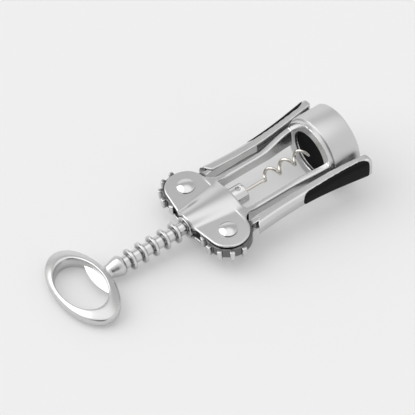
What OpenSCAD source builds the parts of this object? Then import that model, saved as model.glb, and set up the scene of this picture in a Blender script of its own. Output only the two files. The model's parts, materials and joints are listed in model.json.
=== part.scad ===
// Wing corkscrew, lying on its back with both levers folded down.
//
// Every piece is drawn in the tool's own frame: X runs along the spindle from
// the handle to the bell mouth, the two lever pivots sit at x = 0, and Z is
// square to the face plates. lay() then tips the whole tool so that the handle
// ring and the front edge of the bell rest on the floor at z = 0.

/* [Lever pivots and gear mesh] */
// Distance between the two lever pivots
pivot_gap = 35.4; // [34:0.1:38]
// Teeth on a full turn of a lever gear
gear_teeth = 13; // [12:1:14]
// Spacing of the ring teeth along the rack
ring_spacing = 6.55; // [6.2:0.05:6.8]
// Flank angle of the ring teeth
flank_angle = 16; // [12:1:20]
// Height of a ring tooth above the pitch line
rack_addendum = 1.35; // [1.1:0.05:1.5]
// Depth of the ring groove below the pitch line
rack_dedendum = 0.85; // [0.7:0.05:1]
// Height of a gear tooth above its pitch circle
gear_addendum = 0.45; // [0.3:0.05:0.6]
// Depth of a gear tooth space below its pitch circle
gear_dedendum = 1.75; // [1.6:0.05:2]
// Thickness of a ring tooth at the pitch line
rack_tooth = 2.2; // [1.8:0.1:2.6]
// Thickness of a gear tooth at the pitch circle
gear_tooth = 2.4; // [2:0.1:2.8]
// Ring teeth towards the handle from the pivots
rings_up = 7; // [5:1:7]
// Teeth on the sector of a lever
sector_teeth = 8; // [7:1:9]
// Teeth of the sector past the rack when the levers are down
teeth_past = 1; // [1:1:2]

/* [Frame casting] */
// Half the thickness of the frame over its flat faces
frame_half = 4.6; // [4:0.1:5.5]
// Thickness of a face plate
plate_t = 1.5; // [1.2:0.1:1.8]
// Radius of the ears round the pivots
ear_r = 10.8; // [9.5:0.1:11.5]
// Backward sweep of the ears' top edges
ear_sweep = 8.5; // [4:0.5:12]
// Radius of the hollow between an ear and its rail
ear_fillet = 6; // [5:0.2:8]
// Outer side of a rail from the axis
rail_out = 14.4; // [14:0.1:15]
// Outer side of a rail where it meets the bell
rail_out_end = 17.2; // [16.6:0.1:17.4]
// Inner side of a rail from the axis
rail_in = 11.2; // [10.6:0.1:11.6]
// Inner side of a rail where it meets the bell
rail_in_end = 13.6; // [13:0.1:14.2]
// Half the thickness of a rail
rail_half = 3; // [2.6:0.1:3.4]
// Half the thickness of a rail where it meets the bell
rail_end_half = 5.2; // [4.6:0.1:5.4]
// Where the window starts below the pivots
window_x = 14.4; // [13.5:0.1:16]
// Where the rails start to flare
flare_x = 39; // [36:1:44]
// Half width of the raised rack housing at its top
boss_top = 6; // [5.6:0.1:7]
// Half width of the raised rack housing at the window
boss_end = 9.2; // [8:0.1:9.6]
// Rise of the rack housing over the plate at its top
boss_top_rise = 2.7; // [2.4:0.1:3.5]
// Rise of the rack housing over the plate at the window
boss_end_rise = 2; // [1.9:0.1:3]

/* [Bell] */
// Radius of the bottle socket
socket_r = 15.25; // [14.75:0.05:15.5]
// Wall of the bottle guide
guide_t = 1; // [0.8:0.1:1.2]
// Wall of the frame inside the bell sleeve
core_t = 1.6; // [1.2:0.1:2]
// Wall of the bell sleeve
sleeve_t = 1.1; // [0.8:0.1:1.4]
// Front face of the bell's flange
bell_x = 63.3; // [60:0.5:68]
// Distance from the flange's front face to the sleeve
sleeve_step = 2.4; // [2:0.1:3]
// Length of the bell sleeve
sleeve_len = 15.5; // [14:0.5:20]
// Radius of the hole in the bell's flange
flange_hole_r = 12.25; // [11.5:0.25:12.5]

/* [Levers] */
// Inner side of a lever shell from its pivot
lever_gap = 0.55; // [0.4:0.05:1]
// Depth of a lever shell, inner side to outer face
lever_depth = 5.3; // [4.8:0.1:6]
// Half the width of a lever shell where it is narrow
lever_half = 3.8; // [3.7:0.1:4.4]
// Half the width of a lever shell at its tip
lever_tip_half = 5.9; // [4.5:0.1:7]
// Start of a lever shell below the pivots
lever_start = 17.2; // [16.8:0.1:19]
// Tip of a lever below the pivots
lever_tip = 82.4; // [78:0.2:84]
// Where a lever's curve is nearest to the axis
bend_x = 38; // [34:1:42]
// Gap between a lever and the front edge of the bell sleeve
bell_gap = 0.85; // [0.6:0.05:1.5]
// Radius of a lever shell's outer edges
lever_round = 2.2; // [1.4:0.1:2.6]
// Wall of a lever shell's side flanges
flange_t = 1; // [0.8:0.1:1.2]
// Wall of a lever shell behind its grip
web_t = 2; // [1.8:0.1:2.4]
// Start of the grip below the pivots
grip_start = 41.8; // [40:0.2:48]
// Margin of bare shell beyond the grip
grip_margin = 2.4; // [1:0.1:3]
// Depth of the grip's recess
grip_sink = 0.9; // [0.6:0.1:1.2]
// Height of the grip over the shell
grip_proud = 0.25; // [0.1:0.05:0.5]

/* [Spindle, worm and pins] */
// Radius of the spindle's rod
rod_r = 2; // [1.6:0.1:2.2]
// Length of the spindle's thick end
bush_len = 12.6; // [12:0.2:16]
// Radius of the spindle's thick end
bush_r = 5.1; // [4.6:0.1:5.3]
// Radius of the worm's wire
wire_r = 0.9; // [0.8:0.05:1.1]
// Radius of the head on the worm's shank, inside the spindle
worm_head_r = 2.1; // [1.9:0.1:2.5]
// Radius of the worm's coil, at the middle of the wire
coil_r = 2.65; // [2.4:0.05:3.2]
// Distance of the coil's own axis from the spindle's
coil_off = 1.3; // [0:0.1:1.6]
// Turn of that offset about the spindle's axis
coil_off_turn = 36; // [0:2:360]
// Rise of one turn of the worm
coil_pitch = 9.3; // [8:0.1:10]
// Turns of the worm
coil_turns = 3.2; // [2.75:0.05:3.5]
// Straight length of the worm's shank past the spindle
shank_len = 11; // [9:0.5:13]
// Turn of the worm about its axis
worm_turn = 160; // [0:5:360]
// Radius of the worm's cross pin
pin_r = 1.4; // [1:0.1:1.5]
// Radius of a pivot rivet's shank
rivet_r = 2.5; // [2:0.1:3]
// Radius of a pivot rivet's front head
rivet_head_r = 4.6; // [4:0.1:5]
// Height of a pivot rivet's front head
rivet_head_h = 1.6; // [1.2:0.1:2]

/* [Handle] */
// Middle of the handle ring from the pivots
ring_x = 73.4; // [73:0.2:80]
// Half the length of the handle ring, across the spindle
ring_b = 25.2; // [22:0.2:27]
// Half the width of the handle ring, along the spindle
ring_a = 14.2; // [13.4:0.2:16]
// Half the length of the finger hole
hole_b = 16.7; // [14:0.1:17.5]
// Half the width of the finger hole
hole_a = 10.9; // [10:0.1:11.4]
// Offset of the finger hole from the middle of the ring
hole_shift = 0.6; // [0:0.1:1]
// Half the thickness of the ring at the finger hole
ring_half = 3.7; // [3.2:0.1:4.2]
// Half the height of the ring's outer band
band_half = 1.75; // [1.2:0.05:2]
// Radius of the neck at its wide end
neck_r = 5.2; // [4.6:0.1:5.5]
// Radius of the neck where it leaves the ring
neck_thin_r = 2.7; // [2.6:0.1:3]
// Face of the neck, above the pivots
neck_x = 50; // [50:0.2:53]
// Thickness of the bottle opener's lip
lip_t = 1.6; // [1.2:0.1:2]
// Reach of the lip into the finger hole
lip_reach = 4.4; // [3.6:0.1:5.2]

/* [Clearances] */
// Gap between a lever gear and each face plate
side_gap = 0.3; // [0.2:0.05:0.5]
// Radial running clearance of pins and rod
run_gap = 0.05; // [0.03:0.01:0.08]
// Clearance of the rack in the frame's bore
rack_gap = 0.25; // [0.15:0.05:0.3]
// Clearance between parts that are pressed or fitted together
fit_gap = 0.02; // [0.01:0.01:0.05]
// Clearance around a lever gear inside the frame
gear_gap = 0.6; // [0.4:0.1:0.8]
// End play of the ring rack on the spindle
end_gap = 0.1; // [0.05:0.05:0.2]

/* [Hidden] */
$fn = 64;
pivot_y = pivot_gap / 2;
gear_r = gear_teeth * ring_spacing / 360 * 180 / PI;
rack_r = pivot_y - gear_r;
rack_tip_r = rack_r + rack_addendum;
rack_core_r = rack_r - rack_dedendum;
gear_tip_r = gear_r + gear_addendum;
gear_root_r = gear_r - gear_dedendum;
bore_r = max(rack_tip_r, bush_r) + rack_gap;
gap_half = frame_half - plate_t;
gear_half = gap_half - side_gap;
sweep_r = gear_tip_r + gear_gap;
web_x = 9.5;
step_x = 11;
thin_x = 21;
arm_end = 45;
sleeve_x = bell_x + sleeve_step;
mouth_x = sleeve_x + sleeve_len;
guide_r = socket_r + guide_t;
core_r = guide_r + fit_gap + core_t;
bell_r = core_r + fit_gap + sleeve_t;
guide_floor = 1.2;
ring_step = 360 / gear_teeth;
rings_down = 1;
bush_x = (rings_down + 0.5) * ring_spacing;
bush_end = bush_x + bush_len;
rack_top = -neck_x + end_gap;
worm_seat = bush_len * 0.62;
pin_x = bush_end - bush_len * 0.26;
overlap = 0.5;
crest_share = 0.24;
bend_r = pow(sleeve_x - bend_x, 2) / (2 * (bell_r + bell_gap - pivot_y - lever_gap));

// The tool lies on the front edge of its bell and on the rim of the finger
// hole that is furthest from the bell.
rest_x = -ring_x - hole_shift - hole_a - crest_share * (ring_a - hole_shift - hole_a);
pitch = atan((bell_r - ring_half) / (sleeve_x - rest_x));
lift = bell_r * cos(pitch) - sleeve_x * sin(pitch);
reach_front = mouth_x * cos(pitch) + bell_r * sin(pitch);
reach_back = (-ring_x - ring_a) * cos(pitch) - band_half * sin(pitch);

// ---------------------------------------------------------------- placing

// Tips the tool onto the floor and centres it over the origin.
module lay() {
    translate([-(reach_front + reach_back) / 2, 0, lift])
        rotate([0, -pitch, 0])
            children();
}

// Puts a form drawn along Z on the tool's axis, its z = 0 at x.
module on_axis(x) {
    translate([x, 0, 0]) rotate([0, 90, 0]) children();
}

// Draws the left side's piece, or its mirror image on the right.
module side(left) {
    mirror([0, left ? 0 : 1, 0]) children();
}

// ---------------------------------------------------------------- helpers

// Points of an S curve from a to b that leaves and arrives along X.
function s_curve(a, b, n = 16) = [
    for (k = [0 : n])
        let (t = k / n, s = t * t * (3 - 2 * t))
            [a.x + (b.x - a.x) * t, a.y + (b.y - a.y) * s]
];

// A closed skin over rings of points, each ring listed the same way round.
module skin(rings) {
    n = len(rings[0]);
    m = len(rings);
    points = [for (r = rings) for (p = r) p];
    walls = [
        for (i = [0 : m - 2]) for (j = [0 : n - 1])
            let (a = i * n + j, b = i * n + (j + 1) % n)
                each [[a, a + n, b], [b, a + n, b + n]]
    ];
    caps = [
        for (j = [1 : n - 2])
            each [[0, j, j + 1], [(m - 1) * n, (m - 1) * n + j + 1, (m - 1) * n + j]]
    ];
    polyhedron(points = points, faces = concat(walls, caps), convexity = 6);
}

// ---------------------------------------------------------------- frame

// One half of the frame's outline, from the axis to the left side.
module half_outline() {
    ear_tip = [-ear_r / cos(ear_sweep) - pivot_y * tan(ear_sweep), 0];
    tangent = [-ear_r * cos(ear_sweep), pivot_y + ear_r * sin(ear_sweep)];
    hollow_y = rail_out + ear_fillet;
    hollow_x = sqrt(pow(ear_r + ear_fillet, 2) - pow(hollow_y - pivot_y, 2));
    translate([0, pivot_y]) circle(ear_r);
    difference() {
        polygon(concat(
            [ear_tip, tangent, [0, pivot_y], [hollow_x, hollow_y]],
            [[hollow_x, rail_out]],
            s_curve([flare_x, rail_out], [bell_x + overlap, rail_out_end]),
            [[bell_x + overlap, 0]]));
        translate([hollow_x, hollow_y]) circle(ear_fillet);
    }
}

// The window between the rails.
module window_outline() {
    half = concat(
        [[window_x, 0], [window_x, rail_in]],
        s_curve([flare_x + 4, rail_in], [bell_x, rail_in_end]),
        [[bell_x + 2 * overlap, rail_in_end], [bell_x + 2 * overlap, 0]]);
    for (s = [0, 1])
        mirror([0, s]) polygon(half);
}

module frame_outline() {
    difference() {
        for (s = [0, 1])
            mirror([0, s]) half_outline();
        window_outline();
    }
}

// The casting seen from its side: thick at the plates, thin along the rails,
// spread at the bell.
module side_outline() {
    upper = concat(
        [[-2 * ear_r, frame_half]],
        s_curve([step_x, frame_half], [thin_x, rail_half], 10),
        s_curve([flare_x, rail_half], [bell_x + overlap, rail_end_half], 12));
    polygon(concat(upper, [for (k = [len(upper) - 1 : -1 : 0]) [upper[k].x, -upper[k].y]]));
}

// The part of a circle of the housing's section that stands over the plate.
module boss_slice(half_width, rise) {
    r = (pow(half_width, 2) + pow(rise, 2)) / (2 * rise);
    intersection() {
        translate([frame_half + rise - r, 0]) circle(r, $fn = 96);
        translate([gap_half, -half_width]) square([plate_t + rise, 2 * half_width]);
    }
}

// The raised housing that covers the rack on one face.
module boss() {
    top = -ear_r / cos(ear_sweep) - boss_top * tan(ear_sweep);
    intersection() {
        hull() {
            translate([top - overlap, 0, 0]) rotate([0, -90, 180])
                linear_extrude(0.01) boss_slice(boss_top, boss_top_rise);
            translate([window_x - 0.01, 0, 0]) rotate([0, -90, 180])
                linear_extrude(0.01) boss_slice(boss_end, boss_end_rise);
        }
        linear_extrude(3 * frame_half)
            for (s = [0, 1])
                mirror([0, s]) half_outline();
    }
}

// The face plate over the lever gears.
module face_plate() {
    translate([0, 0, gap_half])
        linear_extrude(plate_t)
            intersection() {
                frame_outline();
                translate([-2 * ear_r, -2 * pivot_y]) square([4 * ear_r, 4 * pivot_y]);
            }
}

// The rails, and the bridge that joins the plates round the rack.
module rails() {
    linear_extrude(3 * frame_half, center = true)
        difference() {
            intersection() {
                frame_outline();
                translate([web_x, -2 * bell_r]) square([bell_x, 4 * bell_r]);
            }
            for (s = [-1, 1])
                translate([0, s * pivot_y]) circle(sweep_r);
        }
}

// The flange and the inner wall of the bell.
module bell_core() {
    chamfer = 0.8;
    on_axis(bell_x) rotate_extrude()
        polygon([[flange_hole_r, 0], [core_r - chamfer, 0], [core_r, chamfer],
            [core_r, mouth_x - bell_x - guide_floor], [guide_r + fit_gap, mouth_x - bell_x - guide_floor],
            [guide_r + fit_gap, sleeve_step], [flange_hole_r, sleeve_step]]);
}

module frame() {
    color("silver") lay() difference() {
        union() {
            intersection() {
                union() {
                    face_plate();
                    mirror([0, 0, 1]) face_plate();
                    rails();
                }
                rotate([90, 0, 0]) linear_extrude(4 * bell_r, center = true) side_outline();
            }
            boss();
            mirror([0, 0, 1]) boss();
            bell_core();
        }
        on_axis(-2 * ear_r) cylinder(r = bore_r, h = 2 * ear_r + window_x + 1);
        for (s = [-1, 1])
            translate([0, s * pivot_y, 0])
                cylinder(r = rivet_r + fit_gap, h = 3 * frame_half, center = true);
    }
}

module bell_sleeve() {
    edge = 0.35;
    inner = bell_r - sleeve_t;
    color("lightgray") lay() on_axis(sleeve_x) rotate_extrude($fn = 128)
        polygon([[inner, 0], [bell_r - edge, 0], [bell_r, edge], [bell_r, sleeve_len - edge],
            [bell_r - edge, sleeve_len], [inner, sleeve_len]]);
}

module bottle_guide() {
    lip = guide_floor;
    lead = 0.6;
    depth = mouth_x - bell_x - sleeve_step - fit_gap;
    hole = flange_hole_r + 0.35;
    color("dimgray") lay() on_axis(bell_x + sleeve_step + fit_gap) rotate_extrude($fn = 128)
        polygon([[hole, 0], [guide_r, 0], [guide_r, depth - lip + fit_gap],
            [core_r, depth - lip + fit_gap], [core_r, depth], [socket_r + lead, depth],
            [socket_r, depth - lead], [socket_r, guide_floor], [hole, guide_floor]]);
}

// A domed cap of a given base radius and height, on z = 0.
module dome(base, height) {
    r = (pow(base, 2) + pow(height, 2)) / (2 * height);
    intersection() {
        translate([0, 0, height - r]) sphere(r, $fn = 96);
        cylinder(r = base + 1, h = height + 1);
    }
}

module pivot_rivet(left) {
    color("whitesmoke") lay() side(left) translate([0, pivot_y, 0]) {
        cylinder(r = rivet_r, h = 2 * frame_half, center = true);
        translate([0, 0, frame_half]) dome(rivet_head_r, rivet_head_h);
        mirror([0, 0, 1]) translate([0, 0, frame_half]) dome(rivet_head_r - 0.6, rivet_head_h - 0.4);
    }
}

module left_pivot_rivet() {
    pivot_rivet(true);
}

module right_pivot_rivet() {
    pivot_rivet(false);
}

// ---------------------------------------------------------------- levers

base_r = gear_r * cos(flank_angle);

// Roll angle of the involute at radius r, in degrees.
function roll(r) = let (a = acos(min(1, base_r / r))) (tan(a) * 180 / PI - a);

// Half the angle that a gear tooth spans at radius r.
function half_tooth(r) = gear_tooth / gear_r / 2 * 180 / PI + roll(gear_r) - roll(max(r, base_r));

function polar(r, a) = [r * cos(a), r * sin(a)];

// One involute tooth, pointing along +X.
module gear_tooth_shape() {
    radii = [gear_root_r - overlap, base_r, (base_r + gear_r) / 2, gear_r, gear_tip_r];
    polygon(concat(
        [for (r = radii) polar(r, half_tooth(r))],
        [for (k = [len(radii) - 1 : -1 : 0]) polar(radii[k], -half_tooth(radii[k]))]));
}

// The toothed sector of a lever about its pivot, meshed so that a ring tooth
// of the rack stands in the tooth space that faces the axis.
module gear_sector() {
    last = gear_teeth - 1 + teeth_past;
    first = last - sector_teeth + 1;
    cylinder(r = gear_root_r, h = 2 * gear_half, center = true);
    for (k = [first : last])
        rotate(-90 + (k + 0.5) * ring_step)
            linear_extrude(2 * gear_half, center = true) gear_tooth_shape();
}

// Inner side of a lever shell from the axis, at a given distance from the pivots.
function lever_y(x) = pivot_y + lever_gap + pow(x - bend_x, 2) / (2 * bend_r);

// Half the width of a lever at a given distance from the pivots.
function lever_h(x) =
    let (t = max(0, x - bend_x) / (lever_tip - bend_x))
        lever_half + (lever_tip_half - lever_half) * t * t * (3 - 2 * t);

module gear_arm(left) {
    inner = lever_y(lever_start) + fit_gap;
    outer = lever_y(bend_x) + lever_depth - web_t - fit_gap;
    arm = [[0, pivot_y], [lever_start, inner], [arm_end, inner], [arm_end, outer],
        [gear_root_r / 2, outer]];
    color("gainsboro") lay() side(left) difference() {
        union() {
            translate([0, pivot_y, 0]) gear_sector();
            linear_extrude(2 * gear_half, center = true) polygon(arm);
        }
        translate([0, pivot_y, 0])
            cylinder(r = rivet_r + run_gap, h = 3 * frame_half, center = true);
    }
}

module left_gear_arm() {
    gear_arm(true);
}

module right_gear_arm() {
    gear_arm(false);
}

// Section of a lever shell: [out, up] points of a bar with a rounded outer
// side, grown by g.
function lever_section(half, g = 0) =
    let (edge = 0.4, bulge = 0.35, n = 4, d = lever_depth + g, h = half + g,
        r = max(lever_round + g, edge))
    concat(
        [[-g, edge - h], [edge - g, -h]],
        [for (k = [0 : n]) let (a = -90 + 90 * k / n) [d - r + r * cos(a), r - h + r * sin(a)]],
        [[d + bulge * 0.8, -h / 3], [d + bulge, 0], [d + bulge * 0.8, h / 3]],
        [for (k = [0 : n]) let (a = 90 * k / n) [d - r + r * cos(a), h - r + r * sin(a)]],
        [[edge - g, h], [-g, h - edge]]);

// The bar that a lever shell is hollowed from, grown by g.
module lever_bar(g = 0) {
    slant = 4;
    tip_r = 1.6;
    body = [for (k = [1 : 12]) lever_start + (lever_tip - tip_r - lever_start) * k / 12];
    first = [
        for (p = lever_section(lever_half, g))
            let (x = lever_start - slant * p.x / lever_depth)
                [x, lever_y(x) + p.x, p.y]
    ];
    middle = [
        for (x = body)
            [for (p = lever_section(lever_h(x), g)) [x, lever_y(x) + p.x, p.y]]
    ];
    tip = [
        for (a = [30, 60, 90])
            let (x = lever_tip - tip_r + tip_r * sin(a), in = tip_r * (1 - cos(a)) * 0.8)
                [for (p = lever_section(lever_h(x), g - in)) [x, lever_y(x) + p.x, p.y]]
    ];
    skin(concat([first], middle, tip));
}

// The space inside a lever shell, open towards the frame.
module lever_cavity() {
    tip_wall = 2.2;
    steps = 8;
    start = lever_start - lever_depth;
    skin([
        for (k = [0 : steps])
            let (x = start + (lever_tip - tip_wall - start) * k / steps,
                h = lever_h(x) - flange_t, y = lever_y(x), d = lever_depth - web_t)
                [[x, y - 1, -h], [x, y + d, -h], [x, y + d, h], [x, y - 1, h]]
    ]);
}

// Outline of the grip seen square to the lever's outer face.
module grip_outline() {
    start_r = 3.2;
    end_r = 3;
    grip_end = lever_tip - grip_margin;
    h1 = lever_h(grip_start + start_r) - 0.2;
    h2 = lever_h(grip_end) - 0.3;
    hull()
        for (s = [-1, 1]) {
            translate([grip_start + start_r, s * (h1 - start_r)]) circle(start_r, $fn = 32);
            translate([grip_end - end_r, s * (h2 - end_r)]) circle(end_r, $fn = 32);
        }
}

// The layer over a lever's outer face that the grip fills.
module grip_layer() {
    slice = 5;
    difference() {
        intersection() {
            lever_bar(grip_proud);
            translate([0, 2 * bell_r, 0])
                rotate([90, 0, 0])
                    linear_extrude(2 * bell_r) grip_outline();
        }
        lever_bar(-grip_sink);
        translate([0, 0, -bell_r]) linear_extrude(2 * bell_r)
            polygon(concat(
                [for (x = [lever_start : slice : lever_tip + slice])
                    [x, lever_y(x) + lever_depth - lever_round]],
                [[lever_tip + slice, 0], [lever_start, 0]]));
    }
}

module lever_shell(left) {
    color("silver") lay() side(left) difference() {
        lever_bar();
        lever_cavity();
        grip_layer();
    }
}

module left_lever_shell() {
    lever_shell(true);
}

module right_lever_shell() {
    lever_shell(false);
}

module grip(left) {
    color("black") lay() side(left) grip_layer();
}

module left_grip() {
    grip(true);
}

module right_grip() {
    grip(false);
}

// ---------------------------------------------------------------- spindle

// The sleeve of ring teeth that slides in the frame.
module ring_rack() {
    spread = tan(flank_angle);
    tip = rack_tooth / 2 - rack_addendum * spread;
    root = rack_tooth / 2 + rack_dedendum * spread;
    start = rack_top;
    profile = concat(
        [[rod_r + run_gap, start], [rack_core_r, start]],
        [for (k = [-rings_up : rings_down])
            let (x = k * ring_spacing)
                each [[rack_core_r, x - root], [rack_tip_r, x - tip], [rack_tip_r, x + tip],
                    [rack_core_r, x + root]]],
        [[rack_core_r, bush_x - end_gap], [rod_r + run_gap, bush_x - end_gap]]);
    color("gainsboro") lay() on_axis(0) rotate_extrude() polygon(profile);
}

// The rod that turns inside the ring rack, with the thick end that holds the worm.
module spindle() {
    seat = 7;
    edge = 0.6;
    color("gainsboro") lay() difference() {
        on_axis(0) rotate_extrude()
            polygon([[0, -neck_x - seat + fit_gap], [rod_r, -neck_x - seat + fit_gap], [rod_r, bush_x],
                [bush_r - edge, bush_x], [bush_r, bush_x + edge], [bush_r, bush_end - edge],
                [bush_r - edge, bush_end], [0, bush_end]]);
        on_axis(bush_end - worm_seat) cylinder(r = worm_head_r + fit_gap, h = worm_seat + 1);
        cross_pin(pin_r + fit_gap, 3 * bush_r);
    }
}

// The pin that holds the worm's head in the spindle.
module cross_pin(r, length) {
    translate([pin_x, 0, 0]) cylinder(r = r, h = length, center = true);
}

module worm() {
    sides = 10;
    per_turn = 24;
    turn = 360 / per_turn;
    ease = 10;
    taper = 0.5;
    steps = round(coil_turns * per_turn);
    coil_x = bush_end + shank_len;
    start = bush_end - worm_seat + fit_gap;
    // Centre line of the wire, and the wire's radius, at each ring.
    coil = [
        for (k = [0 : steps])
            let (a = worm_turn + turn * k,
                out = k < ease ? pow(sin(90 * k / ease), 2) : 1,
                left = (steps - k) / per_turn,
                w = wire_r * (left < taper ? 0.15 + 0.85 * sqrt(left / taper) : 1),
                p = out * (polar(coil_off, coil_off_turn) + polar(coil_r, a)))
                [[coil_x + coil_pitch * k / per_turn, p.x, p.y], w]
    ];
    path = concat([[[start + 1, 0, 0], wire_r], [[coil_x - 2, 0, 0], wire_r]], coil);
    n = len(path);
    color("silver") lay() difference() {
        union() {
            on_axis(start) cylinder(r = worm_head_r, h = worm_seat - fit_gap);
            skin([
                for (i = [0 : n - 1])
                    let (along = unit(path[min(i + 1, n - 1)][0] - path[max(i - 1, 0)][0]),
                        u = unit(cross(along, [0, 0.3, 1])), v = cross(along, u))
                        [for (j = [0 : sides - 1])
                            let (a = 360 * j / sides)
                                path[i][0] + path[i][1] * (cos(a) * u + sin(a) * v)]
            ]);
        }
        cross_pin(pin_r + fit_gap, 3 * bush_r);
    }
}

function unit(v) = v / norm(v);

module worm_pin() {
    color("whitesmoke") lay() cross_pin(pin_r, 2 * bush_r - 0.8);
}

// ---------------------------------------------------------------- handle

// Half section of the ring: [share of the way from hole to rim, share of the
// rise from the band to the crest].
ring_profile = [[0, -0.6], [0.02, 0.45], [0.1, 0.92], [crest_share, 1], [0.42, 0.88], [0.62, 0.64],
    [0.82, 0.33], [0.97, 0.06], [1, -0.1]];

// The oval ring, with faces that dome up towards the finger hole.
module handle_ring() {
    steps = 72;
    rise = ring_half - band_half;
    upper = [for (p = ring_profile) [p.x, band_half + rise * p.y]];
    lower = [for (k = [len(upper) - 1 : -1 : 0]) [upper[k].x, -upper[k].y]];
    section = concat(upper, lower);
    n = len(section);
    points = [
        for (i = [0 : steps - 1])
            let (a = 360 * i / steps,
                hole = [-ring_x - hole_shift + hole_a * cos(a), hole_b * sin(a)],
                rim = [-ring_x + ring_a * cos(a), ring_b * sin(a)])
                for (p = section)
                    [hole.x + (rim.x - hole.x) * p.x, hole.y + (rim.y - hole.y) * p.x, p.y]
    ];
    faces = [
        for (i = [0 : steps - 1]) for (j = [0 : n - 1])
            let (a = i * n + j, b = i * n + (j + 1) % n,
                c = ((i + 1) % steps) * n + j, d = ((i + 1) % steps) * n + (j + 1) % n)
                each [[a, c, b], [b, c, d]]
    ];
    polyhedron(points = points, faces = faces, convexity = 8);
}

// The flared neck between the ring and the rack.
module neck() {
    root = ring_x - ring_a + 3;
    flare = root - neck_x;
    on_axis(-root) rotate_extrude()
        polygon([[0, 0], [neck_thin_r - 0.3, 0], [neck_thin_r + 0.3, flare * 0.2],
            [neck_r * 0.76, flare * 0.42], [neck_r * 0.93, flare * 0.66], [neck_r, flare * 0.8],
            [neck_r * 0.97, flare * 0.88], [neck_r * 0.85, flare * 0.95], [neck_r * 0.66, flare],
            [0, flare]]);
}

// Outline of the opener's lip: the bell end of the finger hole, and a tongue
// of the given depth in the ring.
module lip_outline(tongue) {
    edge_r = 33;
    hole_x = -ring_x - hole_shift;
    intersection() {
        translate([hole_x, 0])
            polygon([for (a = [-90 : 5 : 90]) [(hole_a + tongue) * cos(a), (hole_b + tongue) * sin(a)]]);
        translate([hole_x + hole_a - lip_reach + edge_r, 0]) circle(edge_r, $fn = 128);
    }
}

module handle() {
    seat = 7;
    color("silver") lay() difference() {
        union() {
            handle_ring();
            neck();
        }
        on_axis(-neck_x - seat) cylinder(r = rod_r + fit_gap, h = seat + 1);
        translate([0, 0, -lip_t / 2 - fit_gap])
            linear_extrude(lip_t + 2 * fit_gap) lip_outline(1.2);
    }
}

module opener_lip() {
    color("whitesmoke") lay() translate([0, 0, -lip_t / 2])
        linear_extrude(lip_t) lip_outline(1.2 - fit_gap);
}

frame();
bell_sleeve();
bottle_guide();
left_pivot_rivet();
right_pivot_rivet();
left_gear_arm();
right_gear_arm();
left_lever_shell();
right_lever_shell();
left_grip();
right_grip();
ring_rack();
spindle();
worm();
worm_pin();
handle();
opener_lip();
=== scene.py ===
"""The looks of a wing corkscrew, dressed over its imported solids.

Every piece is modelled in the tool's own axes, in millimetres: X runs along
the spindle from the handle to the bell mouth, the lever pivots sit at x = 0
and Z is square to the face plates. ToolFrame then lays the piece down where
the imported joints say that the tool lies.
"""

from __future__ import annotations

import json
import logging
import math
from abc import ABC, abstractmethod
from dataclasses import dataclass
from enum import Enum
from typing import Any, Mapping, Sequence

import bmesh
import bpy
import numpy as np
import openvdb
from mathutils import Matrix, Vector

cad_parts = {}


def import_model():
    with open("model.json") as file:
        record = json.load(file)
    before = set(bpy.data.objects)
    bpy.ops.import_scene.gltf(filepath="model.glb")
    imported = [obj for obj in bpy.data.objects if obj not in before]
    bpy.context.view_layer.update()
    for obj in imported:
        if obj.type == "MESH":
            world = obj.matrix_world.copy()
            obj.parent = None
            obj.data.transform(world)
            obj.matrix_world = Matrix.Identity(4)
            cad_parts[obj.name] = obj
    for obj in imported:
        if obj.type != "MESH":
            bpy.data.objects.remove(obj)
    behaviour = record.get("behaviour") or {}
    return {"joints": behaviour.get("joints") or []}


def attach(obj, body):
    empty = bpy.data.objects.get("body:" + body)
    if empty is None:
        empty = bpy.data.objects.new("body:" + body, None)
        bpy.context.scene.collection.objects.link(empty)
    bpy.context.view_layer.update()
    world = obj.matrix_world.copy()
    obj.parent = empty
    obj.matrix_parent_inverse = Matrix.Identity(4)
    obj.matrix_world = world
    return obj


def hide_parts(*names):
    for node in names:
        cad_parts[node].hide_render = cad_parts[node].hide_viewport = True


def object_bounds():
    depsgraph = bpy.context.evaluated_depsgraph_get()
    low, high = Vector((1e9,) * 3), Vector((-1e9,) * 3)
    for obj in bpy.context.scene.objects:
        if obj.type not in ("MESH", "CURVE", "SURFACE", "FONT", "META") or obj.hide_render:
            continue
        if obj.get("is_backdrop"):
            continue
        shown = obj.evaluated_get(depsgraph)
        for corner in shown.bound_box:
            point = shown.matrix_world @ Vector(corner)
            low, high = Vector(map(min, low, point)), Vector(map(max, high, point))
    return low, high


LOG = logging.getLogger("corkscrew")
MM = 0.001
Point2 = tuple[float, float]
Point3 = tuple[float, float, float]
Shape = tuple[np.ndarray, Sequence[Sequence[int]]]


# ------------------------------------------------------------------ nodes


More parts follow.
